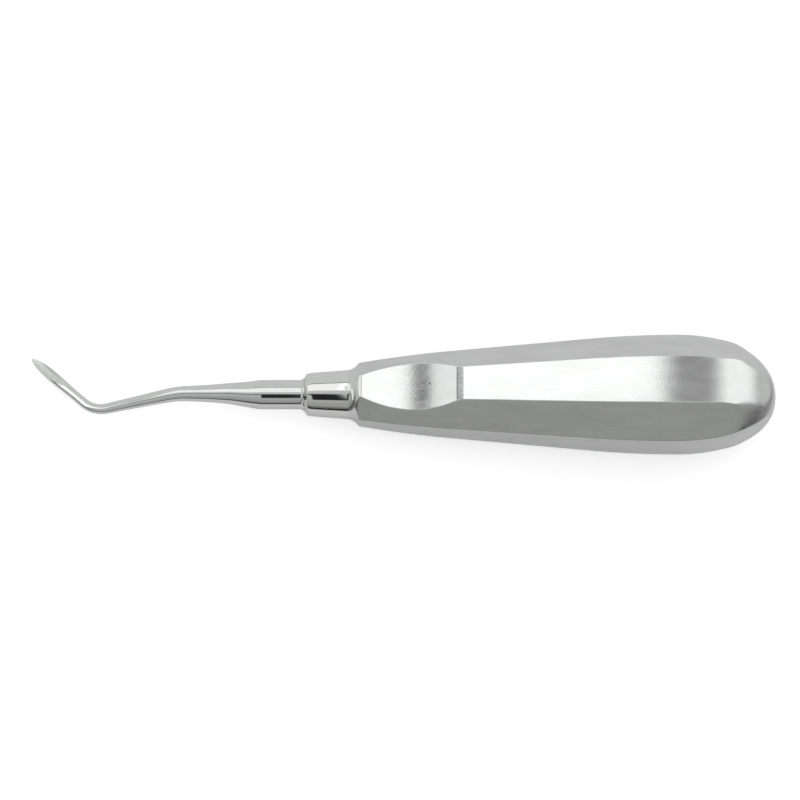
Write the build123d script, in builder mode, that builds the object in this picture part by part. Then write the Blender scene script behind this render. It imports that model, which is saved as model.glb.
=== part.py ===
from build123d import *
from math import asin, cos, degrees, radians, sin, sqrt, tan
import os

# Dental elevator for loosening tooth roots. The hollow octagonal grip is two pressed steel half
# shells, welded along the sides and ground flush, with a thumb scoop in the top facet and a round
# neck that ends in a collar. The working end is one forging: a round tang brazed into the neck,
# a shank that tapers and bends twice, and a narrow gouge blade.
#
# Stations are distances along the tool's own axis from the collar's front face, positive towards
# the dome. Heights are above that axis. The tool lies on the flat stretch of its bottom facet,
# and the origin is the middle of that stretch: +X towards the dome, +Z up, blade bent to +Y.
# Lengths are in millimetres and angles in degrees.

# Grip facets: distance from the axis where the flat stretch starts, taper of that stretch, and
# how far short of the grip's end the facet's dome curve stops
grip_length = 95.4
flat_station = 30.0
main_radius = 8.24
main_taper = 4.58
main_dome_gap = 0.5
diagonal_radius = 8.19
diagonal_taper = 4.93
diagonal_dome_gap = 0.05

# Lengthwise curves of the facets, in front of and behind the flat stretch
neck_curve_radius = 250.0
belly_curve_radius = 214.0
shoulder_curve_radius = 40.8
shoulder_curve_turn = 13.8
dome_curve_radius = 17.0
dome_curve_turn = 40.0

# Round end of the dome
cap_radius = 9.3
cap_cone_angle = 33.0

# Collar and the flare from it into the facets
bevel_length = 0.85
bevel_radius = 4.24
collar_length = 8.9
collar_front_radius = 4.4
collar_back_radius = 4.92
flare_radius = 2.9
flare_angle = 60.0

# Thumb scoop
scoop_station = 18.5
scoop_depth = 1.66
scoop_radius = 30.5
scoop_blend_radius = 3.6

# Walls of the half shells, and the brazed joint
wall = 1.2
throat_lead = 0.4
throat_angle = 40.0
braze_gap = 0.05

# Working end: tang, shank and its taper
shank_radius = 2.95
tang_length = 22.0
tang_chamfer = 0.5
shank_length = 8.8
taper_curve_radius = 110.0
taper_start_angle = 9.3
taper_turn = 6.3

# Centre line of the bent end, in the plane of the seam: straight runs between its corners, and
# the direction of each run, from the tool's axis towards -Y for the limb and +Y for the blade
lead_run = 5.7
limb_run = 15.9
blade_run = 16.9
limb_angle = 12.6
blade_angle = 41.3
first_bend_radius = 22.0
elbow_radius = 5.3

# Bent end: radius of its slender stretch, and how far back from the tip that starts to thicken
slender_radius = 0.955
slender_back = 12.0
section_spacing = 1.1

# Blade: greatest half width and half thickness, and how far back from the tip they lie
blade_half_width = 1.09
blade_half_thickness = 0.9
blade_widest = 6.2
point_back = 0.1
point_sections = 7

# Flute, ground by the rounded rim of a wheel
flute_radius = 1.35
flute_wheel_radius = 22.0
flute_deepest = 2.0
flute_floor = -0.12

# Size of the blocks that the grip is cut from, past every facet and past the collar's front face
block_margin = 2.0
end_margin = 1.0


def sine(angle):
    """Sine of an angle in degrees."""
    return sin(radians(angle))


def cosine(angle):
    """Cosine of an angle in degrees."""
    return cos(radians(angle))


def flat_length(taper, dome_gap):
    """Length of a facet's flat stretch: what the curves behind it leave of the grip."""
    shoulder = shoulder_curve_radius * sine(shoulder_curve_turn)
    end_turn = shoulder_curve_turn + dome_curve_turn
    dome = dome_curve_radius * (sine(end_turn) - sine(shoulder_curve_turn))
    belly = belly_curve_radius * sine(taper)
    left = grip_length - dome_gap - dome - shoulder - belly - flat_station
    return left / cosine(taper)


# The tool's own axis as it lies: the bottom facet's flat stretch is level and its middle is at
# the origin
main_flat_length = flat_length(main_taper, main_dome_gap)
rest_station = flat_station + main_flat_length * cosine(main_taper) / 2
rest_radius = main_radius + main_flat_length * sine(main_taper) / 2
widest = main_radius + main_flat_length * sine(main_taper)
widest += belly_curve_radius * (1 - cosine(main_taper))
reach = widest + block_margin
axis_dir = Vector(cosine(main_taper), 0, sine(main_taper))
up_dir = Vector(-sine(main_taper), 0, cosine(main_taper))
side_dir = Vector(0, 1, 0)
tool = Plane(
    origin=up_dir * rest_radius - axis_dir * rest_station,
    x_dir=axis_dir,
    z_dir=up_dir,
)
tool_axis = Axis(tool.origin, axis_dir)


def at(station, offset=0.0, height=0.0):
    """Point of the lying tool at a station, an offset to the side and a height."""
    return tool.origin + axis_dir * station + side_dir * offset + up_dir * height


def rolled(roll):
    """Lengthwise plane through the tool's axis, turned about it by roll."""
    facing = up_dir * cosine(roll) - side_dir * sine(roll)
    return Plane(tool.origin, x_dir=axis_dir, z_dir=facing)


def facet_pair(roll, radius, taper, dome_gap, inset):
    """Sketch of the bar between two opposite facets, seen along them, moved in by inset."""
    start = (flat_station + inset * sine(taper), radius - inset * cosine(taper))
    neck_rise = (flat_station - collar_length) / neck_curve_radius
    neck_turn = degrees(asin(sine(taper) + neck_rise)) - taper
    with BuildSketch(rolled(roll).offset(-reach)) as view:
        with BuildLine():
            flat = PolarLine(start, flat_length(taper, dome_gap), taper)
            bend = belly_curve_radius - inset
            belly = JernArc(flat @ 1, flat % 1, bend, -taper)
            bend = shoulder_curve_radius - inset
            shoulder = JernArc(belly @ 1, belly % 1, bend, -shoulder_curve_turn)
            bend = dome_curve_radius - inset
            dome = JernArc(shoulder @ 1, shoulder % 1, bend, -dome_curve_turn)
            to_axis = (dome @ 1).Y / -(dome % 1).Y
            tail = Line(dome @ 1, dome @ 1 + (dome % 1) * to_axis)
            bend = neck_curve_radius - inset
            neck = JernArc(flat @ 0, (flat % 0) * -1, bend, neck_turn)
            front = Line(neck @ 1, (-end_margin, (neck @ 1).Y))
            Polyline(front @ 1, (-end_margin, 0), tail @ 1)
        make_face()
        mirror(about=Plane.XZ)
    return view.sketch


def faceted_bar(inset):
    """Eight-sided bar with the grip's facets, moved in by inset."""
    main = (main_radius, main_taper, main_dome_gap)
    diagonal = (diagonal_radius, diagonal_taper, diagonal_dome_gap)
    across = 2 * reach
    with BuildPart() as bar:
        extrude(facet_pair(0, *main, inset), amount=across, dir=rolled(0).z_dir)
        for roll, facets in ((90, main), (45, diagonal), (135, diagonal)):
            view = facet_pair(roll, *facets, inset)
            extrude(view, amount=across, dir=rolled(roll).z_dir, mode=Mode.INTERSECT)
    return bar.part


def cap_points(inset):
    """Outline of the dome's round end: outer end of its cone, where the cap starts, and its top."""
    centre = grip_length - cap_radius
    radius = cap_radius - inset
    joint = (centre + radius * sine(cap_cone_angle), radius * cosine(cap_cone_angle))
    run = (reach - joint[1]) / tan(radians(cap_cone_angle))
    halfway = (90 - cap_cone_angle) / 2
    through = (centre + radius * cosine(halfway), radius * sine(halfway))
    return (joint[0] - run, reach), joint, through, (centre + radius, 0)


def scoop_cutter(margin):
    """Cylinder across the top facet that hollows the thumb scoop, larger by margin."""
    facet_there = main_radius - (flat_station - scoop_station) * tan(radians(main_taper))
    sag = (flat_station - scoop_station) ** 2 / (2 * neck_curve_radius)
    floor = facet_there - sag - scoop_depth
    centre = at(scoop_station, -reach, floor + scoop_radius)
    with BuildPart() as cutter:
        with BuildSketch(Plane(centre, x_dir=axis_dir, z_dir=side_dir)):
            Circle(scoop_radius + margin)
        extrude(amount=2 * reach)
    return cutter.part


# Outer form of the whole grip
with BuildPart() as grip_form:
    add(faceted_bar(0))
    with BuildSketch(tool):
        with BuildLine():
            cone_end, cap_start, cap_middle, cap_top = cap_points(0)
            rim = (bevel_length, bevel_radius)
            edge = (2 * bevel_length, collar_front_radius)
            Polyline((0, 0), (0, shank_radius), rim, edge)
            side = Line(edge, (collar_length, collar_back_radius))
            flare = JernArc(side @ 1, side % 1, flare_radius, flare_angle)
            out = (reach - (flare @ 1).Y) / (flare % 1).Y
            Polyline(flare @ 1, flare @ 1 + (flare % 1) * out, cone_end, cap_start)
            ThreePointArc(cap_start, cap_middle, cap_top)
            Line(cap_top, (0, 0))
        make_face()
    revolve(axis=tool_axis, mode=Mode.INTERSECT)
    add(scoop_cutter(0), mode=Mode.SUBTRACT)
    half_chord = sqrt(2 * scoop_radius * scoop_depth)
    ridge = (
        grip_form.edges()
        .filter_by(GeomType.LINE)
        .filter_by(Axis.Y)
        .sort_by_distance(at(scoop_station + half_chord, 0, main_radius))[0]
    )
    fillet(ridge, scoop_blend_radius)

# Hollow inside the grip, with the bore of the neck
with BuildPart() as hollow:
    add(faceted_bar(wall))
    with BuildSketch(tool):
        with BuildLine():
            cone_end, cap_start, cap_middle, cap_top = cap_points(wall)
            bore_radius = shank_radius + braze_gap
            throat = (collar_length - throat_lead, bore_radius)
            throat_run = (reach - bore_radius) / tan(radians(throat_angle))
            throat_end = (throat[0] + throat_run, reach)
            Polyline((-end_margin, 0), (-end_margin, bore_radius), throat, throat_end)
            Polyline(throat_end, cone_end, cap_start)
            ThreePointArc(cap_start, cap_middle, cap_top)
            Line(cap_top, (-end_margin, 0))
        make_face()
    revolve(axis=tool_axis, mode=Mode.INTERSECT)
    add(scoop_cutter(wall), mode=Mode.SUBTRACT)

with BuildPart() as handle_upper_shell:
    add(grip_form.part)
    add(hollow.part, mode=Mode.SUBTRACT)
    split(bisect_by=tool, keep=Keep.TOP)

with BuildPart() as handle_lower_shell:
    add(grip_form.part)
    add(hollow.part, mode=Mode.SUBTRACT)
    split(bisect_by=tool, keep=Keep.BOTTOM)


def end_plane(line, back):
    """Plane across the bent end's centre line, at a distance back from the tip."""
    share = 1 - back / line.length
    return Plane(line @ share, x_dir=up_dir, z_dir=(line % share) * -1)


def eased(share):
    """Smooth step from 0 to 1."""
    return share * share * (3 - 2 * share)


def end_section(back, length, joint_radius):
    """Half thickness and half width of the bent end, at a distance back from the tip."""
    if back >= slender_back:
        rise = ((back - slender_back) / (length - slender_back)) ** 1.5
        radius = slender_radius + (joint_radius - slender_radius) * rise
        return radius, radius
    if back >= blade_widest:
        rise = eased((slender_back - back) / (slender_back - blade_widest))
        thickness = slender_radius + (blade_half_thickness - slender_radius) * rise
        return thickness, slender_radius + (blade_half_width - slender_radius) * rise
    leaf = 1 - (1 - back / blade_widest) ** 2
    return blade_half_thickness * leaf**0.8, blade_half_width * leaf**0.6


with BuildPart() as working_end:
    # Tang, shank and taper, turned about the axis
    with BuildSketch(tool):
        with BuildLine():
            shoulder_point = (-shank_length, shank_radius)
            tang_edge = (tang_length - tang_chamfer, shank_radius)
            tang_face = (tang_length, shank_radius - tang_chamfer)
            Polyline(shoulder_point, tang_edge, tang_face, (tang_length, 0))
            fall = (-cosine(taper_start_angle), -sine(taper_start_angle))
            taper = JernArc(shoulder_point, fall, taper_curve_radius, -taper_turn)
            taper_end = (taper @ 1).X
            taper_end_radius = (taper @ 1).Y
            Polyline(taper @ 1, (taper_end, 0), (tang_length, 0))
        make_face()
    revolve(axis=tool_axis)

    # Bent end: round sections along the centre line, then the blade's leaf-shaped ones
    first_bend = at(taper_end - lead_run)
    limb_dir = axis_dir * -cosine(limb_angle) - side_dir * sine(limb_angle)
    blade_dir = axis_dir * -cosine(blade_angle) + side_dir * sine(blade_angle)
    elbow = first_bend + limb_dir * limb_run
    tip = elbow + blade_dir * blade_run
    with BuildLine() as centre_line:
        FilletPolyline(
            at(taper_end),
            first_bend,
            elbow,
            tip,
            radius=(first_bend_radius, elbow_radius),
        )
    line = centre_line.wire()
    limb_sections = round((line.length - blade_widest) / section_spacing)
    limb_step = (line.length - blade_widest) / limb_sections
    backs = [line.length - limb_step * i for i in range(limb_sections + 1)]
    point_step = (blade_widest - point_back) / point_sections
    backs += [blade_widest - point_step * (i + 1) for i in range(point_sections)]
    for back in backs:
        with BuildSketch(end_plane(line, back)):
            Ellipse(*end_section(back, line.length, taper_end_radius))
    loft()

    # Flute along the top of the blade
    across_blade = up_dir.cross(blade_dir)
    rim_centre = tip - blade_dir * flute_deepest + up_dir * (flute_floor + flute_radius)
    wheel_centre = rim_centre + up_dir * (flute_wheel_radius - flute_radius)
    with BuildSketch(Plane(rim_centre, x_dir=across_blade, z_dir=blade_dir)):
        Circle(flute_radius)
    revolve(axis=Axis(wheel_centre, across_blade), mode=Mode.SUBTRACT)

os.makedirs("parts", exist_ok=True)
for name, shell in (
    ("handle_upper_shell", handle_upper_shell),
    ("handle_lower_shell", handle_lower_shell),
    ("working_end", working_end),
):
    shell.part.label = name
    export_step(shell.part, f"parts/{name}.step")
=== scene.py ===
from math import atan, cos, radians, sin, sqrt, tan

import bpy
import numpy as np
from mathutils import Matrix, Vector


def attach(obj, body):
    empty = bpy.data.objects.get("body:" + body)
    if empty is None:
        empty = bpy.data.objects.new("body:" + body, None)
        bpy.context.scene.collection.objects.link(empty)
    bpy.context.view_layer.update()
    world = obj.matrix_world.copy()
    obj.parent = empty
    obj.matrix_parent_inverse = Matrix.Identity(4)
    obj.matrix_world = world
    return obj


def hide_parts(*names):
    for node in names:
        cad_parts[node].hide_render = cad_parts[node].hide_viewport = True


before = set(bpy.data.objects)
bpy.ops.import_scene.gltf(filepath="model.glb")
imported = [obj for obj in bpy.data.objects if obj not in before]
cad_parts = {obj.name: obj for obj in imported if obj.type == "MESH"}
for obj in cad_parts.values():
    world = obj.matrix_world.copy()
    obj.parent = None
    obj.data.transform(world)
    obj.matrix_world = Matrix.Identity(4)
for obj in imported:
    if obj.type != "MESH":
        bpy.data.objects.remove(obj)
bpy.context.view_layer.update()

# Dental elevator with a hollow octagonal steel grip, lying on its bottom facet. The sizes below
# repeat the model's own, in millimetres and degrees; meshes are made in the tool's frame and put
# in the row frame, in metres, by to_row. Stations run along the tool's axis from the collar's
# front face towards the dome, y is the side that the blade is bent to, heights are above the axis.
MM = 0.001

GRIP_LENGTH = 95.4
FLAT_STATION = 30.0
MAIN_FACET = (8.24, 4.58, 0.5)
DIAGONAL_FACET = (8.19, 4.93, 0.05)
NECK_CURVE = 250.0
BELLY_CURVE = 214.0
SHOULDER_CURVE = 40.8
SHOULDER_TURN = 13.8
DOME_CURVE = 17.0
DOME_TURN = 40.0
CAP_RADIUS = 9.3
CAP_CONE = 33.0

BEVEL_LENGTH = 0.85
BEVEL_RADIUS = 4.24
COLLAR_LENGTH = 8.9
COLLAR_FRONT = 4.4
COLLAR_BACK = 4.92
FLARE_RADIUS = 2.9
FLARE_TURN = 60.0

SCOOP_STATION = 18.5
SCOOP_DEPTH = 1.66
SCOOP_RADIUS = 30.5
SCOOP_BLEND = 3.6
SCOOP_MARGIN = 10.0

WALL = 1.2
BORE_RADIUS = 3.0
THROAT_STATION = 8.5
THROAT_ANGLE = 40.0

SHANK_RADIUS = 2.95
TANG_LENGTH = 22.0
TANG_CHAMFER = 0.5
SHANK_LENGTH = 8.8
TAPER_CURVE = 110.0
TAPER_START = 9.3
TAPER_TURN = 6.3
LEAD_RUN = 5.7
LIMB_RUN = 15.9
BLADE_RUN = 16.9
LIMB_ANGLE = 12.6
BLADE_ANGLE = 41.3
FIRST_BEND = 22.0
ELBOW_BEND = 5.3
SLENDER_RADIUS = 0.955
SLENDER_BACK = 12.0
BLADE_HALF_WIDTH = 1.09
BLADE_HALF_THICKNESS = 0.9
BLADE_WIDEST = 6.2
FLUTE_RADIUS = 1.35
FLUTE_WHEEL = 22.0
FLUTE_DEEPEST = 2.0
FLUTE_FLOOR = -0.12

# How quickly the limb thickens backwards, and the blade from its tip
LIMB_POWER = 1.5
LEAF_THICKNESS_POWER = 0.65
LEAF_WIDTH_POWER = 0.52

# Softness of the edges between facets, and of the round forms that cut them
FACET_FILLET = 0.3
INNER_FILLET = 0.05
FLARE_SOFTNESS = 0.35
CAP_SOFTNESS = 0.5
BEVEL_SOFTNESS = 0.12
RIM_SOFTNESS = 0.08
SHANK_SOFTNESS = 0.02
SCOOP_FRONT_SOFTNESS = 0.06
SCOOP_BACK_SOFTNESS = 0.13 * SCOOP_BLEND

# How far the hand-ground tool strays from the ruled form: fuller round end and diagonal facets,
# dome drooping to one side, a slight sway of the shank before its first bend, a limb bent a little
# further back, a tip that is ground blunter, and a rim of braze where the shank enters the collar
CAP_FULLNESS = 0.58
CAP_FULLNESS_POWER = 4
DIAGONAL_FULLNESS = 0.42
DIAGONAL_FULLNESS_RUN = (83.0, 90.0)
DOME_DROOP = 0.5
DOME_DROOP_START = 86.0
SHANK_SWAY = 0.24
SHANK_SWAY_RUN = (-29.0, -10.0)
SHANK_SWAY_EASE = 6.0
LIMB_STRETCH = 0.2
TIP_TRIM = 0.15
BRAZE_RISE = 0.3
BRAZE_RUN = 0.55
BRAZE_POWER = 2.5
BRAZE_END = 0.2


def flat_length(taper, dome_gap):
    """Length of a facet's flat stretch: what the curves behind it leave of the grip."""
    shoulder = SHOULDER_CURVE * sin(radians(SHOULDER_TURN))
    end_turn = radians(SHOULDER_TURN + DOME_TURN)
    dome = DOME_CURVE * (sin(end_turn) - sin(radians(SHOULDER_TURN)))
    belly = BELLY_CURVE * sin(radians(taper))
    left = GRIP_LENGTH - dome_gap - dome - shoulder - belly - FLAT_STATION
    return left / cos(radians(taper))


TILT = radians(MAIN_FACET[1])
REST_LENGTH = flat_length(*MAIN_FACET[1:])
REST_STATION = FLAT_STATION + REST_LENGTH * cos(TILT) / 2
REST_RADIUS = MAIN_FACET[0] + REST_LENGTH * sin(TILT) / 2


def to_row(points):
    """Points or directions of the tool's frame turned and moved into the row frame, in metres."""
    turned = turn_to_row(points - np.array([REST_STATION, 0, 0]) + np.array([0, 0, REST_RADIUS]))
    return turned * MM


def turn_to_row(vectors):
    """Directions of the tool's frame in the row frame."""
    s, y, h = vectors[..., 0], vectors[..., 1], vectors[..., 2]
    return np.stack([s * cos(TILT) - h * sin(TILT), y, s * sin(TILT) + h * cos(TILT)], -1)


def soft_min(a, b, softness):
    """The lower of two heights, with the corner between them rounded."""
    share = np.clip(0.5 + 0.5 * (b - a) / softness, 0, 1)
    return b + (a - b) * share - softness * share * (1 - share)


def eased(share):
    """Smooth step from 0 to 1."""
    share = np.clip(share, 0, 1)
    return share * share * (3 - 2 * share)


def droop(s):
    """How far the dome's middle lies to the side at each station."""
    share = (s - DOME_DROOP_START) / (GRIP_LENGTH - DOME_DROOP_START)
    return DOME_DROOP * eased(share)


def circle_height(s, centre, radius):
    """Height of a circle's upper side at each station."""
    return centre[1] + np.sqrt(np.maximum(radius**2 - (s - centre[0]) ** 2, 0))


def facet_height(s, radius, taper, dome_gap, inset):
    """Height of a facet above the axis at each station, moved in by inset."""
    t = radians(taper)
    length = flat_length(taper, dome_gap)
    start = np.array([FLAT_STATION + inset * sin(t), radius - inset * cos(t)])
    down = np.array([sin(t), -cos(t)])
    flat_end = start + length * np.array([cos(t), sin(t)])
    neck = start + down * (NECK_CURVE - inset)
    belly = flat_end + down * (BELLY_CURVE - inset)
    shoulder = belly + np.array([0, BELLY_CURVE - SHOULDER_CURVE])
    turn = radians(SHOULDER_TURN)
    dome = shoulder + (SHOULDER_CURVE - DOME_CURVE) * np.array([sin(turn), cos(turn)])
    dome_start = dome[0] + (DOME_CURVE - inset) * sin(turn)
    end_turn = radians(SHOULDER_TURN + DOME_TURN)
    end = dome + (DOME_CURVE - inset) * np.array([sin(end_turn), cos(end_turn)])
    return np.select(
        [s < start[0], s < flat_end[0], s < belly[0], s < dome_start, s < end[0]],
        [
            circle_height(s, neck, NECK_CURVE - inset),
            start[1] + (s - start[0]) * tan(t),
            circle_height(s, belly, BELLY_CURVE - inset),
            circle_height(s, shoulder, SHOULDER_CURVE - inset),
            circle_height(s, dome, DOME_CURVE - inset),
        ],
        end[1] - (s - end[0]) * tan(end_turn),
    )


def cap_radius(s, inset):
    """Radius of the dome's round end: a cone that runs into a ball."""
    centre = GRIP_LENGTH - CAP_RADIUS
    ball = CAP_RADIUS - inset
    cone = radians(CAP_CONE)
    joint = centre + ball * sin(cone)
    on_ball = np.sqrt(np.maximum(ball**2 - (s - centre) ** 2, 0))
    share = np.clip((s - centre) / ball, 0, 1)
    fullness = CAP_FULLNESS * (1 - share**CAP_FULLNESS_POWER)
    on_cone = ball * cos(cone) + (joint - s) * tan(cone)
    return np.where(s < joint, on_cone, on_ball) + fullness


def collar_radius(s):
    """Radius of the collar, with its bevelled front, and of the flare behind it."""
    slope = (COLLAR_BACK - COLLAR_FRONT) / (COLLAR_LENGTH - 2 * BEVEL_LENGTH)
    side = COLLAR_FRONT + (s - 2 * BEVEL_LENGTH) * slope
    bevel = SHANK_RADIUS + s * (BEVEL_RADIUS - SHANK_RADIUS) / BEVEL_LENGTH
    rim = BEVEL_RADIUS + (s - BEVEL_LENGTH) * (COLLAR_FRONT - BEVEL_RADIUS) / BEVEL_LENGTH
    front = soft_min(soft_min(bevel, rim, BEVEL_SOFTNESS), side, RIM_SOFTNESS)
    start = atan(slope)
    end = start + radians(FLARE_TURN)
    centre = (COLLAR_LENGTH - FLARE_RADIUS * sin(start), COLLAR_BACK + FLARE_RADIUS * cos(start))
    flare_end = centre[0] + FLARE_RADIUS * sin(end)
    curve = centre[1] - np.sqrt(np.maximum(FLARE_RADIUS**2 - (s - centre[0]) ** 2, 0))
    straight = centre[1] - FLARE_RADIUS * cos(end) + (s - flare_end) * tan(end)
    return np.select([s < COLLAR_LENGTH, s < flare_end], [front, curve], straight)


def bore_radius(s):
    """Radius of the neck's bore and of the throat behind it."""
    throat = BORE_RADIUS + (s - THROAT_STATION) * tan(radians(THROAT_ANGLE))
    return np.maximum(BORE_RADIUS, throat)


def scoop_height(s, inset):
    """Height of the thumb scoop's floor, which is a cylinder across the tool."""
    facet = MAIN_FACET[0] - (FLAT_STATION - SCOOP_STATION) * tan(radians(MAIN_FACET[1]))
    floor = facet - (FLAT_STATION - SCOOP_STATION) ** 2 / (2 * NECK_CURVE) - SCOOP_DEPTH
    sag = (SCOOP_RADIUS + inset) ** 2 - (s - SCOOP_STATION) ** 2
    return floor + SCOOP_RADIUS - np.sqrt(np.maximum(sag, 0))


def top_height(s, inset):
    """Height of the top facet with the scoop in it and the rounded ridge behind the scoop."""
    facet = facet_height(s, *MAIN_FACET, inset)
    scoop = np.where(s < GRIP_LENGTH / 2, scoop_height(s, inset), 2 * GRIP_LENGTH)
    # From a little way behind the scoop's far ridge only the facet counts
    ridge = SCOOP_STATION + sqrt(2 * SCOOP_RADIUS * SCOOP_DEPTH)
    softness = np.where(s < SCOOP_STATION, SCOOP_FRONT_SOFTNESS, SCOOP_BACK_SOFTNESS)
    return np.where(s < ridge + SCOOP_MARGIN, soft_min(facet, scoop, softness), facet)


def section(s, upper, inset, fillet, flat_steps, arc_steps):
    """Half of the grip's cross-section at each station, from one side of the seam to the other,
    as points (y, height), and the direction along the outline at each point."""
    main = facet_height(s, *MAIN_FACET, inset)
    diagonal = facet_height(s, *DIAGONAL_FACET, inset)
    start, end = DIAGONAL_FULLNESS_RUN
    diagonal = diagonal + DIAGONAL_FULLNESS * eased((s - start) / (end - start))
    middle = top_height(s, inset) if upper else main
    reach = [main, diagonal, middle, diagonal, main]
    if upper:
        headings = [-90, -45, 0, 45, 90]
    else:
        headings = [90, 135, 180, 225, 270]
    normals = [np.array([sin(radians(a)), cos(radians(a))]) for a in headings]
    turn = radians(45)
    centres = []
    for k in range(4):
        near, far = (reach[k] - fillet)[:, None], (reach[k + 1] - fillet)[:, None]
        toward_near = normals[k] - cos(turn) * normals[k + 1]
        toward_far = normals[k + 1] - cos(turn) * normals[k]
        centres.append((near * toward_near + far * toward_far) / sin(turn) ** 2)
    points, along = [], []
    start = main[:, None] * normals[0]
    for k in range(5):
        forward = np.array([normals[k][1], -normals[k][0]])
        end = centres[k] + fillet * normals[k] if k < 4 else main[:, None] * normals[4]
        for i in range(flat_steps + (k == 4)):
            points.append(start + (end - start) * (i / flat_steps))
            along.append(np.broadcast_to(forward, start.shape))
        if k == 4:
            break
        for i in range(arc_steps):
            a = radians(headings[k]) + turn * i / arc_steps
            points.append(centres[k] + fillet * np.array([sin(a), cos(a)]))
            along.append(np.broadcast_to(np.array([cos(a), -sin(a)]), start.shape))
        start = centres[k] + fillet * normals[k + 1]
    return np.stack(points, 1), np.stack(along, 1)


# Density of the grip's meshes: steps on each facet and on each edge between facets, and the
# stretches of its rings, each with its start, its end and the number of rings, closer where the
# form turns
FLAT_STEPS = 18
ARC_STEPS = 6
GRIP_RUNS = (
    (0.033, 1.9, 26),
    (1.9, 8.6, 12),
    (8.6, 12.4, 62),
    (12.4, 30.6, 54),
    (30.6, 33.4, 24),
    (33.4, 72.0, 34),
    (72.0, 84.0, 30),
)
DOME_RINGS = 60


def grip_surface(s, upper, inset):
    """Rings of the grip's outer or inner surface in the tool's frame, and their normals."""
    outer = inset == 0
    fillet = FACET_FILLET if outer else INNER_FILLET

    def limit(r, s):
        round_end = cap_radius(s, inset)[:, None]
        neck = (collar_radius(s) if outer else bore_radius(s))[:, None]
        held = soft_min(r, neck, FLARE_SOFTNESS)
        held = np.where(s[:, None] < COLLAR_LENGTH, neck, held)
        return np.where(s[:, None] > GRIP_LENGTH / 2, soft_min(r, round_end, CAP_SOFTNESS), held)

    def rings(s):
        flat, along = section(s, upper, inset, fillet, FLAT_STEPS, ARC_STEPS)
        r = np.linalg.norm(flat, axis=2)
        placed = flat * (limit(r, s) / r)[..., None]
        placed[..., 0] -= droop(s)[:, None]
        return placed, flat, along, r

    step = 0.002
    placed, flat, along, r = rings(s)
    ahead, behind = rings(s + step)[0], rings(s - step)[0]
    out = flat / r[..., None]
    rate = (limit(r + step, s) - limit(r - step, s)) / (2 * step)
    outward = (out * along).sum(2)[..., None]
    across = out * rate[..., None] * outward
    across += (along - out * outward) * (limit(r, s) / r)[..., None]
    lengthwise = (ahead - behind) / (2 * step)
    ones = np.ones_like(r)[..., None]
    slope = np.concatenate([ones, lengthwise], 2)
    around = np.concatenate([0 * ones, across], 2)
    normal = np.cross(around, slope)
    normal /= np.linalg.norm(normal, axis=2)[..., None]
    station = np.broadcast_to(s[:, None, None], (len(s), r.shape[1], 1))
    return np.concatenate([station, placed], 2), normal


def grip_stations(end):
    """Stations of the rings from the collar's front to just before the dome's top at end."""
    parts = [np.linspace(a, b, n, endpoint=False) for a, b, n in GRIP_RUNS]
    turn = np.linspace(0, np.pi / 2, DOME_RINGS + 1)[:-1]
    dome = GRIP_RUNS[-1][1]
    parts.append(dome + (GRIP_LENGTH - dome) * np.sin(turn))
    s = np.concatenate(parts)
    return s[0] + (s - s[0]) * (end - s[0]) / (GRIP_LENGTH - s[0])


def mesh_object(name, vertices, faces, corner_normals=None, smooth=True):
    """A mesh object of the row frame from points and faces, with a normal for each face corner."""
    mesh = bpy.data.meshes.new(name)
    mesh.from_pydata([tuple(v) for v in vertices], [], faces)
    mesh.polygons.foreach_set("use_smooth", [smooth] * len(mesh.polygons))
    mesh.update()
    if corner_normals is not None:
        mesh.normals_split_custom_set([tuple(n) for n in corner_normals])
    obj = bpy.data.objects.new(name, mesh)
    bpy.context.scene.collection.objects.link(obj)
    return obj


def half_shell(name, upper):
    """One pressed half of the grip: outer and inner surface, joined at the bore, with flat rims."""
    outer_s = grip_stations(GRIP_LENGTH)
    inner_s = grip_stations(GRIP_LENGTH - WALL)
    outer, outer_n = grip_surface(outer_s, upper, 0)
    inner, inner_n = grip_surface(inner_s, upper, WALL)
    inner[0] = outer[0]
    rows, columns = outer.shape[:2]
    count = rows * columns
    outer_top = np.array([[GRIP_LENGTH, -DOME_DROOP, 0]])
    inner_top = np.array([[GRIP_LENGTH - WALL, -float(droop(GRIP_LENGTH - WALL)), 0]])
    points = np.concatenate([outer.reshape(-1, 3), inner.reshape(-1, 3), outer_top, inner_top])
    ahead = np.array([[1.0, 0, 0]])
    normals = np.concatenate([outer_n.reshape(-1, 3), -inner_n.reshape(-1, 3), ahead, -ahead])
    rim_normal = np.array([0, 0, -1.0 if upper else 1.0])
    faces, corners = [], []

    def add_face(indices, rim=False):
        faces.append(tuple(indices))
        corners.extend(rim_normal if rim else normals[i] for i in indices)

    def at(row, column, inside):
        if inside and row == 0:
            return column
        return row * columns + column + (count if inside else 0)

    for row in range(rows - 1):
        for column in range(columns - 1):
            quad = [(row, column), (row, column + 1), (row + 1, column + 1), (row + 1, column)]
            add_face([at(*q, False) for q in quad])
            add_face([at(*q, True) for q in reversed(quad)])
    tops = (2 * count, 2 * count + 1)
    last = rows - 1
    for column in range(columns - 1):
        add_face([at(last, column, False), at(last, column + 1, False), tops[0]])
        add_face([at(last, column + 1, True), at(last, column, True), tops[1]])
    for column, flip in ((0, True), (columns - 1, False)):
        for row in range(rows):
            here = (at(row, column, False), at(row, column, True))
            if row < last:
                there = (at(row + 1, column, False), at(row + 1, column, True))
            else:
                there = tops
            ring = [here[0], here[1], there[1], there[0]]
            if here[0] == here[1]:
                ring = [here[0], there[1], there[0]]
            add_face(ring[::-1] if flip else ring, rim=True)
    used = np.ones(len(points), bool)
    used[count : count + columns] = False
    index = np.cumsum(used) - 1
    faces = [tuple(int(index[i]) for i in face) for face in faces]
    turned = turn_to_row(np.array(corners))
    return mesh_object(name, to_row(points[used]), faces, turned)


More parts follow.
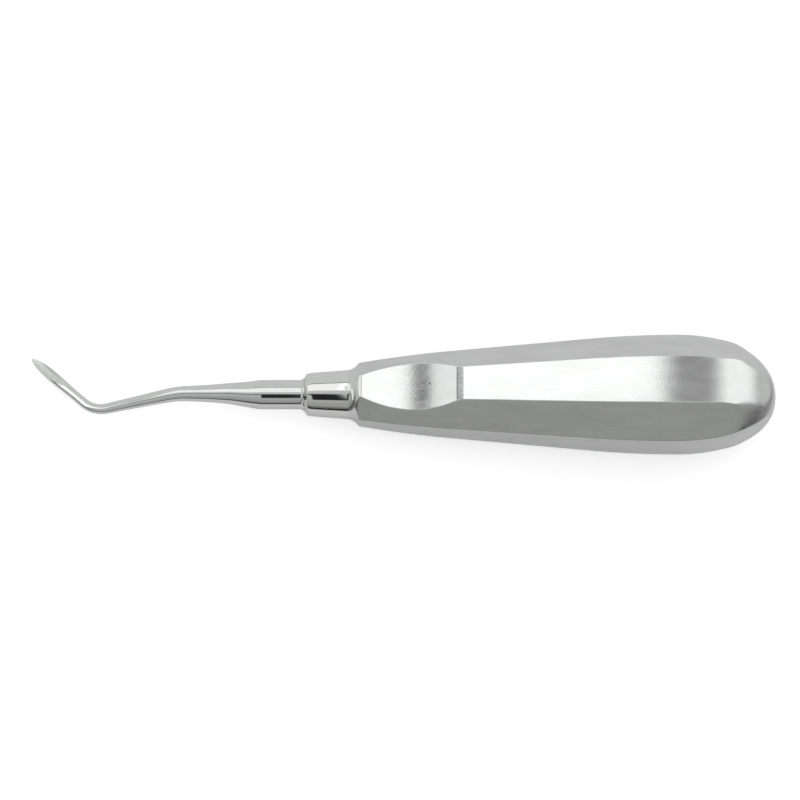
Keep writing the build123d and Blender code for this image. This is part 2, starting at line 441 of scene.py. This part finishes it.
def taper_end():
    """Station and radius where the shank's taper runs into the bent end."""
    start = radians(TAPER_START)
    end = start - radians(TAPER_TURN)
    run = TAPER_CURVE * (sin(start) - sin(end))
    fall = TAPER_CURVE * (cos(end) - cos(start))
    return -SHANK_LENGTH - run, SHANK_RADIUS - fall


def centre_line():
    """Pieces of the working end's centre line from the tip backwards, in the seam's plane: start
    point, heading towards the dome, length and curvature of each."""
    station, _ = taper_end()
    limb, blade = radians(LIMB_ANGLE), radians(BLADE_ANGLE)
    first = np.array([station - LEAD_RUN, 0.0])
    limb_run, blade_run = LIMB_RUN + LIMB_STRETCH, BLADE_RUN - TIP_TRIM
    elbow = first + limb_run * np.array([-cos(limb), -sin(limb)])
    tip = elbow + blade_run * np.array([-cos(blade), sin(blade)])
    elbow_cut = ELBOW_BEND * tan((limb + blade) / 2)
    first_cut = FIRST_BEND * tan(limb / 2)
    lead = LEAD_RUN - first_cut
    runs = [
        (blade_run - elbow_cut, 0.0),
        (ELBOW_BEND * (limb + blade), 1 / ELBOW_BEND),
        (limb_run - elbow_cut - first_cut, 0.0),
        (FIRST_BEND * limb, -1 / FIRST_BEND),
        (lead, 0.0),
    ]
    return tip, -blade, runs


def along_centre(backs):
    """Points (station, y) and headings of the centre line at distances back from the tip."""
    tip, heading, runs = centre_line()
    total = sum(length for length, _ in runs)
    fine = np.linspace(0, total, CENTRE_POINTS)
    step = fine[1]
    middles = fine[:-1] + step / 2
    curvature = np.zeros_like(middles)
    done = 0.0
    for length, bend in runs:
        curvature[(middles >= done) & (middles < done + length)] = bend
        done += length
    headings = heading + np.concatenate([[0], np.cumsum(curvature * step)])
    mid = (headings[:-1] + headings[1:]) / 2
    xs = tip[0] + np.concatenate([[0], np.cumsum(np.cos(mid) * step)])
    ys = tip[1] + np.concatenate([[0], np.cumsum(np.sin(mid) * step)])
    beyond = np.maximum(backs - total, 0)
    x = np.interp(backs, fine, xs) + beyond
    y = np.interp(backs, fine, ys)
    start, end = SHANK_SWAY_RUN
    sway = eased((end - x) / SHANK_SWAY_EASE) * eased((x - start) / SHANK_SWAY_EASE)
    return x, y + SHANK_SWAY * sway, np.interp(backs, fine, headings), total


def end_section(back, total):
    """Half thickness and half width of the working end at distances back from the tip."""
    station, joint = taper_end()
    rise = np.clip((back - SLENDER_BACK) / (total - SLENDER_BACK), 0, 1) ** LIMB_POWER
    limb = SLENDER_RADIUS + (joint - SLENDER_RADIUS) * rise
    leaf = 1 - (1 - np.minimum(back, BLADE_WIDEST) / BLADE_WIDEST) ** 2
    growth = eased((SLENDER_BACK - back) / (SLENDER_BACK - BLADE_WIDEST))
    thickness = limb + (BLADE_HALF_THICKNESS - SLENDER_RADIUS) * growth
    width = limb + (BLADE_HALF_WIDTH - SLENDER_RADIUS) * growth
    on_blade = back < BLADE_WIDEST
    thickness = np.where(on_blade, BLADE_HALF_THICKNESS * leaf**LEAF_THICKNESS_POWER, thickness)
    width = np.where(on_blade, BLADE_HALF_WIDTH * leaf**LEAF_WIDTH_POWER, width)
    # The taper is an arc, and the shank and the tang behind it are round
    end = radians(TAPER_START - TAPER_TURN)
    s = station + (back - total)
    centre = (station - TAPER_CURVE * sin(end), joint + TAPER_CURVE * cos(end))
    arc = centre[1] - np.sqrt(TAPER_CURVE**2 - np.clip(s - centre[0], 0, TAPER_CURVE) ** 2)
    chamfer = SHANK_RADIUS - np.maximum(s - (TANG_LENGTH - TANG_CHAMFER), 0)
    shank = np.minimum(soft_min(arc, SHANK_RADIUS, SHANK_SOFTNESS), chamfer)
    braze = np.clip(1 + s / BRAZE_RUN, 0, 1) ** BRAZE_POWER * (s < BRAZE_END)
    shank = shank + BRAZE_RISE * braze
    behind = back > total
    return np.where(behind, shank, thickness), np.where(behind, shank, width)


def flute_height(across, back):
    """Height of the flute that the rim of a wheel cuts along the blade."""
    rim = np.sqrt(np.maximum(FLUTE_RADIUS**2 - across**2, 0))
    reach = (FLUTE_WHEEL - FLUTE_RADIUS + rim) ** 2 - (back - FLUTE_DEEPEST) ** 2
    centre = FLUTE_FLOOR + FLUTE_WHEEL
    height = centre - np.sqrt(np.maximum(reach, 0))
    return np.where(np.abs(across) < FLUTE_RADIUS, height, 2 * centre)


def flute_edge(thickness, width, back):
    """Half width of the flute in a section: where its surface meets the blade's."""
    shares = np.linspace(0, 1, FLUTE_POINTS)
    u = width * shares
    skin = thickness * np.sqrt(1 - shares**2)
    inside = flute_height(u, back) < skin
    return float(u[inside].max()) if inside.any() else 0.0


# Density of the working end's mesh: steps over and under each section, points along the centre
# line and across the flute; and the share of the width that the section's upper part spans
OVER_STEPS = 28
UNDER_STEPS = 44
CENTRE_POINTS = 4001
FLUTE_POINTS = 400
UPPER_SHARE = (0.4, 0.999)
SHARP_ANGLE = 30.0


def working_end_rings(backs, total):
    """Sections of the working end: heights and offsets across it, flute included."""
    rings = []
    for back in backs:
        thickness, width = (float(v) for v in end_section(np.array(back), total))
        edge = max(flute_edge(thickness, width, back), UPPER_SHARE[0] * width)
        edge = min(edge, UPPER_SHARE[1] * width)
        u = edge * np.cos(np.linspace(0, np.pi, OVER_STEPS + 1))
        skin = thickness * np.sqrt(np.maximum(1 - (u / width) ** 2, 0))
        over = np.minimum(skin, flute_height(u, back))
        start = np.arccos(edge / width)
        turn = np.linspace(np.pi - start, 2 * np.pi + start, UNDER_STEPS + 1)[1:-1]
        under_u, under_v = width * np.cos(turn), thickness * np.sin(turn)
        rings.append(np.stack([np.concatenate([u, under_u]), np.concatenate([over, under_v])], 1))
    return np.array(rings)


def working_end_mesh():
    """The forging from the blade's tip to the tang's end, as one closed mesh."""
    *_, total = along_centre(np.array([0.0]))
    station, _ = taper_end()
    shank = total - station - SHANK_LENGTH
    collar = shank + SHANK_LENGTH
    inside = collar + 2 * BRAZE_END
    tang_end = total - station + TANG_LENGTH
    # Stretches of rings as distances back from the tip, with the number of rings in each
    runs = [
        (0.02, 1.2, 22),
        (1.2, 9.6, 84),
        (9.6, 14.2, 16),
        (14.2, 19.4, 26),
        (19.4, 30.0, 22),
        (30.0, 34.8, 20),
        (34.8, total, 8),
        (total, shank, 40),
        (shank, collar - BRAZE_RUN, 14),
        (collar - BRAZE_RUN, collar, 10),
        (collar, inside, 4),
        (inside, tang_end - TANG_CHAMFER, 12),
    ]
    backs = np.concatenate([np.linspace(a, b, n, endpoint=False) for a, b, n in runs])
    backs = np.concatenate([backs, [tang_end - TANG_CHAMFER, tang_end]])
    rings = working_end_rings(backs, total)
    x, y, heading, _ = along_centre(backs)
    forward = np.stack([-np.sin(heading), np.cos(heading)], 1)
    level = np.zeros_like(x)
    centres = np.stack([x, y, level], 1)
    side = np.stack([forward[:, 0], forward[:, 1], level], 1)
    up = np.array([0.0, 0.0, 1.0])
    points = centres[:, None] + rings[..., :1] * side[:, None] + rings[..., 1:] * up
    rows, columns = points.shape[:2]
    tip = centres[0] - np.array([cos(heading[0]), sin(heading[0]), 0]) * backs[0]
    tail = centres[-1]
    everything = np.concatenate([points.reshape(-1, 3), [tip, tail]])
    faces = []
    for row in range(rows - 1):
        for column in range(columns):
            after = (column + 1) % columns
            near, far = row * columns, (row + 1) * columns
            faces.append((near + column, far + column, far + after, near + after))
    for column in range(columns):
        after = (column + 1) % columns
        last = (rows - 1) * columns
        faces.append((column, after, rows * columns))
        faces.append((last + after, last + column, rows * columns + 1))
    obj = mesh_object("polished_working_end", to_row(everything), faces)
    obj.data.set_sharp_from_angle(angle=radians(SHARP_ANGLE))
    return obj, rings, backs


# Materials


WHITE = (1, 1, 1, 1)


class Nodes:
    """Small helper that adds linked shader nodes to a material or a world."""

    def __init__(self, owner):
        self.owner = owner
        owner.use_nodes = True
        self.tree = owner.node_tree
        self.tree.nodes.clear()

    def add(self, kind, inputs=None, **settings):
        node = self.tree.nodes.new(kind)
        for key, value in settings.items():
            setattr(node, key, value)
        for key, value in (inputs or {}).items():
            if isinstance(value, bpy.types.NodeSocket):
                self.tree.links.new(value, node.inputs[key])
            else:
                node.inputs[key].default_value = value
        return node

    def tool_place(self, stretch=(1, 1, 1)):
        """Place in the tool's own frame in millimetres, times a stretch along each axis."""
        place = self.add("ShaderNodeTexCoord").outputs["Object"]
        turned = self.add(
            "ShaderNodeMapping",
            {
                "Vector": place,
                "Location": (REST_STATION, 0, -REST_RADIUS),
                "Rotation": (0, TILT, 0),
                "Scale": (1 / MM,) * 3,
            },
        )
        return self.add("ShaderNodeMapping", {"Vector": turned.outputs[0], "Scale": stretch}).outputs[0]

    def noise(self, stretch, scale, detail, roughness):
        return self.add(
            "ShaderNodeTexNoise",
            {
                "Vector": self.tool_place(stretch),
                "Scale": scale,
                "Detail": detail,
                "Roughness": roughness,
            },
        ).outputs["Fac"]

    def range(self, value, low, high, to_low, to_high, smooth=False):
        node = self.add(
            "ShaderNodeMapRange",
            {
                "Value": value,
                "From Min": low,
                "From Max": high,
                "To Min": to_low,
                "To Max": to_high,
            },
        )
        if smooth:
            node.interpolation_type = "SMOOTHSTEP"
        return node.outputs[0]

    def past(self, value, edge, smooth=False):
        """0 before an edge, from where it starts to where it ends, and 1 past it."""
        return self.range(value, *edge, 0.0, 1.0, smooth)

    def until(self, value, edge, smooth=False):
        """1 before an edge and 0 past it."""
        return self.range(value, *edge, 1.0, 0.0, smooth)

    def math(self, operation, a, b):
        return self.add("ShaderNodeMath", {0: a, 1: b}, operation=operation).outputs[0]

    def mix_colour(self, factor, a, b):
        node = self.add("ShaderNodeMix", {0: factor, 6: a, 7: b}, data_type="RGBA")
        return node.outputs[2]

    def steel(self, colour, roughness, normal):
        """Ends the material with one metallic shader."""
        shader = self.add(
            "ShaderNodeBsdfPrincipled",
            {
                "Base Color": colour,
                "Metallic": 1.0,
                "Roughness": roughness,
                "Normal": normal,
            },
        )
        self.add("ShaderNodeOutputMaterial", {"Surface": shader.outputs[0]})
        return self.owner


# Edges of the areas on the grip, each from where it starts to where it ends: stations, distances
# to either side of the axis, and heights
SATIN_EDGE = (8.8, 9.4)
# Where the painted shade in the corner at the collar's front fades out
PAINTED_CORNER_SHADE_EDGE = (0.2, 0.34)
RIDGE_FRONT = (30.9, 31.1)
RIDGE_LINE_BACK = (31.15, 31.35)
RIDGE_BACK = (32.2, 32.5)
TOP_SIDE = (3.35, 3.5)
TOP_FLOOR = (4.0, 4.1)
DOME_EDGE = (85.0, 91.0)

# Small spots on the grip, a dark spot at a small pit and two painted highlights where dings catch the
# light: place in the tool's frame, radius and shade
PIT_AND_GLINT_SPOTS = (
    ((25.6, 0.49, 6.25), 0.32, 0.3),
    ((80.2, 3.3, 11.6), 0.3, 0.95),
    ((79.4, -2.0, 11.6), 0.3, 0.95),
)


def ridge_masks(n, station, across, height):
    """Masks of the blunt ridge between the scoop and the facet, which is left rough from the
    wheel, and of the dark line along its front."""
    side = n.add("ShaderNodeMath", {0: across}, operation="ABSOLUTE").outputs[0]
    on_top = n.math("MULTIPLY", n.until(side, TOP_SIDE), n.past(height, TOP_FLOOR))
    behind_scoop = n.math("MULTIPLY", n.past(station, RIDGE_FRONT), on_top)
    ridge = n.math("MULTIPLY", behind_scoop, n.until(station, RIDGE_BACK))
    line = n.math("MULTIPLY", behind_scoop, n.until(station, RIDGE_LINE_BACK))
    return ridge, line


def handle_steel():
    """Satin ground steel with a lengthwise grain, polished bright on the collar."""
    n = Nodes(bpy.data.materials.new("satin_ground_steel"))
    place = n.tool_place()
    station, across, height = n.add("ShaderNodeSeparateXYZ", {0: place}).outputs
    satin = n.past(station, SATIN_EDGE, smooth=True)
    ridge, line = ridge_masks(n, station, across, height)
    grain = n.noise((0.05, 1, 1), 6.0, 4.0, 0.65)
    grit = n.noise((0.8, 1, 1), 3.2, 2.0, 0.5)
    clouds = n.noise((0.3, 1, 1), 0.35, 3.0, 0.6)

    rough = n.range(grain, 0.3, 0.7, 0.14, 0.22)
    rough = n.math("ADD", rough, n.range(clouds, 0.35, 0.65, -0.02, 0.03))
    rough = n.math("ADD", rough, n.range(station, *DOME_EDGE, 0.0, 0.08))
    ridge_roughness = 0.5
    rough = n.add("ShaderNodeMix", {0: ridge, 2: rough, 3: ridge_roughness}).outputs[0]
    polished = n.range(grit, 0.3, 0.7, 0.04, 0.07)
    rough = n.add("ShaderNodeMix", {0: satin, 2: polished, 3: rough}).outputs[0]

    dull = (0.67, 0.68, 0.67, 1)
    bright = (0.76, 0.77, 0.765, 1)
    grain_shade = (0.62, 0.63, 0.62, 1)
    ridge_dark = (0.4, 0.41, 0.41, 1)
    ridge_pale = (0.6, 0.61, 0.61, 1)
    line_shade = (0.3, 0.3, 0.3, 1)
    polished_shade = (0.76, 0.765, 0.755, 1)
    # Colour of the painted shade in the corner where the shank enters the collar
    painted_corner_shade = (0.25, 0.25, 0.24, 1)
    colour = n.mix_colour(n.range(clouds, 0.3, 0.7, 0, 1), dull, bright)
    colour = n.mix_colour(n.range(grain, 0.35, 0.65, 0, 0.35), colour, grain_shade)
    speckled = n.mix_colour(n.range(grit, 0.4, 0.6, 0, 1), ridge_dark, ridge_pale)
    colour = n.mix_colour(ridge, colour, speckled)
    colour = n.mix_colour(line, colour, line_shade)
    colour = n.mix_colour(satin, polished_shade, colour)
    # The dark spot marks a small pit; the two bright spots are painted highlights
    for spot, size, shade in PIT_AND_GLINT_SPOTS:
        apart = n.add("ShaderNodeVectorMath", {0: place, 1: spot}, operation="DISTANCE")
        mark = n.until(apart.outputs["Value"], (0.3 * size, size))
        colour = n.mix_colour(mark, colour, (shade, shade, shade, 1))
    # Painted shade darkens the corner where the shank enters the collar
    colour = n.mix_colour(n.until(station, PAINTED_CORNER_SHADE_EDGE, smooth=True), colour, painted_corner_shade)

    relief = n.math("ADD", n.math("MULTIPLY", grain, 0.6), n.math("MULTIPLY", grit, 2.0))
    strength = n.range(satin, 0, 1, 0.04, 0.5)
    bump = n.add(
        "ShaderNodeBump", {"Strength": strength, "Distance": 0.012 * MM, "Height": relief}
    )
    return n.steel(colour, rough, bump.outputs[0])


def polished_steel():
    """Mirror-polished steel with the faint waves and hairlines that hand polishing leaves."""
    n = Nodes(bpy.data.materials.new("polished_steel"))
    hairlines = n.noise((0.08, 1, 1), 6.0, 3.0, 0.5)
    waves = n.noise((0.4, 1, 1), 0.8, 2.0, 0.5)
    rough = n.range(hairlines, 0.3, 0.7, 0.05, 0.1)
    colour = n.mix_colour(waves, (0.7, 0.705, 0.7, 1), (0.78, 0.785, 0.78, 1))
    height = n.math("ADD", n.math("MULTIPLY", hairlines, 0.15), waves)
    bump = n.add("ShaderNodeBump", {"Strength": 0.3, "Distance": 0.004 * MM, "Height": height})
    return n.steel(colour, rough, bump.outputs[0])


def flute_steel():
    """Fine-ground satin of the flute."""
    n = Nodes(bpy.data.materials.new("ground_flute_steel"))
    grit = n.noise((1, 1, 1), 3.5, 3.0, 0.6)
    rough = n.range(grit, 0.3, 0.7, 0.3, 0.45)
    shade = n.range(grit, 0.35, 0.65, 0, 1)
    colour = n.mix_colour(shade, (0.66, 0.67, 0.66, 1), (0.84, 0.85, 0.84, 1))
    bump = n.add("ShaderNodeBump", {"Strength": 0.6, "Distance": 0.01 * MM, "Height": grit})
    return n.steel(colour, rough, bump.outputs[0])


def add_grip():
    """Both half shells, each standing for its own node."""
    satin = handle_steel()
    for name, upper, node in (
        ("satin_upper_shell", True, "handle_upper_shell"),
        ("satin_lower_shell", False, "handle_lower_shell"),
    ):
        shell = half_shell(name, upper)
        shell.data.materials.append(satin)
        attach(shell, "root")
        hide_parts(node)


# How far under the flute's surface the middle of a face may lie and still be part of it
FLUTE_REACH = 0.01


def add_working_end():
    """The forging, polished all over except for the fine-ground faces of the flute."""
    forging, rings, backs = working_end_mesh()
    forging.data.materials.append(polished_steel())
    forging.data.materials.append(flute_steel())
    columns = rings.shape[1]
    for row in range(len(backs) - 1):
        for column in range(OVER_STEPS):
            u, v = rings[row, column : column + 2].mean(0)
            if flute_height(np.array(u), backs[row]) <= v + FLUTE_REACH:
                forging.data.polygons[row * columns + column].material_index = 1
    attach(forging, "root")
    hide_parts("working_end")


# Camera at the photograph's viewing angle: it looks at the tool from above, square to its axis,
# from a little to one side of the scoop
IMAGE_SIDE = 800
VIEW_ROLL = 16.4
CAMERA_DISTANCE = 3.0
SENSOR = 36.0
PIXEL = 0.2019 * MM
COLLAR_FACE_PIXEL = (303.0, 394.6)


def add_camera():
    """A long lens that shows the tool at the photograph's size and place."""
    roll = radians(VIEW_ROLL)
    back = Vector(turn_to_row(np.array([0.0, -sin(roll), cos(roll)])))
    right = Vector(turn_to_row(np.array([1.0, 0.0, 0.0])))
    up = back.cross(right)
    collar = Vector(to_row(np.array([0.0, 0.0, 0.0])))
    centre = IMAGE_SIDE / 2
    middle = collar + right * (centre - COLLAR_FACE_PIXEL[0]) * PIXEL
    middle += up * (COLLAR_FACE_PIXEL[1] - centre) * PIXEL
    data = bpy.data.cameras.new("camera")
    data.sensor_width = SENSOR
    data.lens = SENSOR * CAMERA_DISTANCE / (IMAGE_SIDE * PIXEL)
    data.clip_start = 0.1
    data.clip_end = 20
    camera = bpy.data.objects.new("camera", data)
    bpy.context.scene.collection.objects.link(camera)
    turned = Matrix((right, up, back)).transposed().to_4x4()
    camera.matrix_world = Matrix.Translation(middle + back * CAMERA_DISTANCE) @ turned
    bpy.context.scene.camera = camera


# Light


def card(name, corners, height, strength, soft=(0, 0, 0, 0)):
    """A level studio card above the tool that only reflections see, bright or dark. Its sides may
    fade out: soft gives the share of its length over which its left and right sides do, and the
    share of its width over which its near and far sides do."""
    points = [(x * MM, y * MM, height * MM) for x, y in corners]
    obj = mesh_object(name, points, [(3, 2, 1, 0)], smooth=False)
    n = Nodes(bpy.data.materials.new(name))
    glow = n.add("ShaderNodeEmission", {0: WHITE, 1: strength}).outputs[0]
    if max(soft) > 0:
        split = n.add(
            "ShaderNodeSeparateXYZ", {0: n.add("ShaderNodeTexCoord").outputs["Generated"]}
        )
        cover = 1.0
        for side in (0, 1):
            way = split.outputs[side]
            near, far = soft[2 * side : 2 * side + 2]
            if near > 0:
                cover = n.math("MULTIPLY", cover, n.range(way, 0, near, 0, 1, smooth=True))
            if far > 0:
                cover = n.math("MULTIPLY", cover, n.range(way, 1 - far, 1, 1, 0, smooth=True))
        clear = n.add("ShaderNodeBsdfTransparent").outputs[0]
        glow = n.add("ShaderNodeMixShader", {0: cover, 1: clear, 2: glow}).outputs[0]
    n.add("ShaderNodeOutputMaterial", {"Surface": glow})
    obj.data.materials.append(n.owner)
    obj.visible_camera = False
    obj.visible_diffuse = False
    obj.visible_shadow = False
    obj.visible_transmission = False


def box(x, y):
    """Corners of a rectangle between two ends each way."""
    return [(x[0], y[0]), (x[1], y[0]), (x[1], y[1]), (x[0], y[1])]


CARD_HEIGHT = 58.0
FLOOR_CARD_HEIGHT = 0.5


def add_cards():
    """What the steel mirrors. Places are millimetres of the row frame, and where cards lie over
    each other the lower one is seen."""
    # White on the top facet, the scoop and the bands along collar and shank, and the scoop's grey
    card("left_softbox", box((-49, 25.3), (3, 43)), CARD_HEIGHT, 1.42)
    card("left_gap", box((-47.6, -37.2), (4, 27)), CARD_HEIGHT - 0.1, 0.17, (0.05, 0.05, 0.1, 0.1))
    card("far_left_softbox", box((-84, -49), (3, 43)), CARD_HEIGHT, 1.12)
    card("band_edge", box((-80, -48), (43, 48)), CARD_HEIGHT, 0.12)
    # The grey gap and the fading white on the dome
    card("right_gap", box((25.3, 66), (3, 43)), CARD_HEIGHT - 0.2, 0.36)
    card("right_gap_pale", box((21, 37), (3, 43)), CARD_HEIGHT - 0.1, 0.6, (0.35, 0.35, 0, 0))
    right = (0.09, 0.62, 0, 0)
    card("right_softbox", box((44, 190), (3, 45)), CARD_HEIGHT - 0.4, 1.25, right)
    card("right_end_grey", box((76, 420), (-20, 45)), CARD_HEIGHT, 0.3, (0, 0, 0.1, 0))
    floor_soft = (0.03, 0, 0.25, 0.25)
    card("right_floor_grey", box((62, 500), (-70, 30)), FLOOR_CARD_HEIGHT, 0.28, floor_soft)
    # The black marks on the collar and shank
    card("camera_side_dark", box((-63, -47), (-54, -10)), CARD_HEIGHT, 0.02, (0.2, 0.2, 0.16, 0.16))
    edge_soft = (0.08, 0.08, 0.1, 0.1)
    card("camera_side_edge", box((-88, -50), (-19, -12)), CARD_HEIGHT + 0.2, 0.12, edge_soft)
    # White on the limb and the blade, with dark beside it, and a dark floor nearest the camera's
    # side for faces that turn down
    blade = [(-84, 3), (-100, 20), (-215, -75), (-165, -80)]
    card("blade_softbox", blade, CARD_HEIGHT, 1.3)
    card("blade_edge", box((-104, -84), (16.5, 21)), CARD_HEIGHT - 0.2, 0.15)
    card("blade_dark", box((-600, -190), (-600, -66)), CARD_HEIGHT + 0.2, 0.05)
    card("front_floor_dark", box((-400, 500), (-700, -38)), FLOOR_CARD_HEIGHT, 0.03, (0, 0, 0, 0.012))


FLOOR_HALF = 3.0
FLOOR_SHADE = 0.76
FLOOR_GLOW = 0.48


def add_floor():
    """Pale floor: white to the camera where it is lit, with the tool's soft shadow on it."""
    half = FLOOR_HALF
    points = [(-half, -half, 0), (half, -half, 0), (half, half, 0), (-half, half, 0)]
    floor = mesh_object("floor", points, [(0, 1, 2, 3)], smooth=False)
    n = Nodes(bpy.data.materials.new("floor"))
    paint = n.add("ShaderNodeBsdfDiffuse", {0: (FLOOR_SHADE, FLOOR_SHADE, FLOOR_SHADE, 1)})
    seen = n.add("ShaderNodeLightPath").outputs["Is Camera Ray"]
    glow = n.add("ShaderNodeEmission", {0: WHITE, 1: n.math("MULTIPLY", seen, FLOOR_GLOW)})
    both = n.add("ShaderNodeAddShader", {0: paint.outputs[0], 1: glow.outputs[0]})
    n.add("ShaderNodeOutputMaterial", {"Surface": both.outputs[0]})
    floor.data.materials.append(n.owner)


# Greys that reflections see round about: on the camera's side by how high the direction points,
# from level to straight up, and one grey on the far side
LOWEST_GREY = (0.05, 0.05, 0.05, 1)
MIDDLE_GREYS = ((0.06, 0.16), (0.18, 0.36), (0.5, 0.42))
HIGHEST_GREY = (0.6, 0.61, 0.61, 1)
FAR_SIDE_GREY = (0.68, 0.69, 0.68, 1)
SIDE_BLEND = 0.3
SKY_STRENGTH = 0.9


def add_world():
    """White round about for the camera, soft grey in reflections, and an even sky for the rest."""
    world = bpy.data.worlds.new("studio")
    bpy.context.scene.world = world
    n = Nodes(world)
    ray = n.add("ShaderNodeLightPath").outputs
    direction = n.add("ShaderNodeTexCoord").outputs["Generated"]
    _, across, up = n.add("ShaderNodeSeparateXYZ", {0: direction}).outputs
    ramp = n.add("ShaderNodeValToRGB", {0: up})
    shades = ramp.color_ramp.elements
    shades[0].position = 0.0
    shades[0].color = LOWEST_GREY
    shades[1].position = 1.0
    shades[1].color = HIGHEST_GREY
    for place, shade in MIDDLE_GREYS:
        shades.new(place).color = (shade, shade * 1.01, shade * 0.99, 1)
    side = n.range(across, -SIDE_BLEND, SIDE_BLEND, 0, 1, smooth=True)
    greys = n.mix_colour(side, ramp.outputs[0], FAR_SIDE_GREY)
    white = n.add("ShaderNodeBackground", {0: WHITE, 1: 1.0}).outputs[0]
    sky = n.add("ShaderNodeBackground", {0: WHITE, 1: SKY_STRENGTH}).outputs[0]
    mirrored = n.add("ShaderNodeBackground", {0: greys, 1: 1.0}).outputs[0]
    glossy = n.add("ShaderNodeMixShader", {0: ray["Is Glossy Ray"], 1: sky, 2: mirrored})
    shown = {0: ray["Is Camera Ray"], 1: glossy.outputs[0], 2: white}
    camera = n.add("ShaderNodeMixShader", shown)
    n.add("ShaderNodeOutputWorld", {"Surface": camera.outputs[0]})


add_grip()
add_working_end()
add_camera()
add_cards()
add_floor()
add_world()
bpy.context.scene.view_settings.view_transform = "Standard"
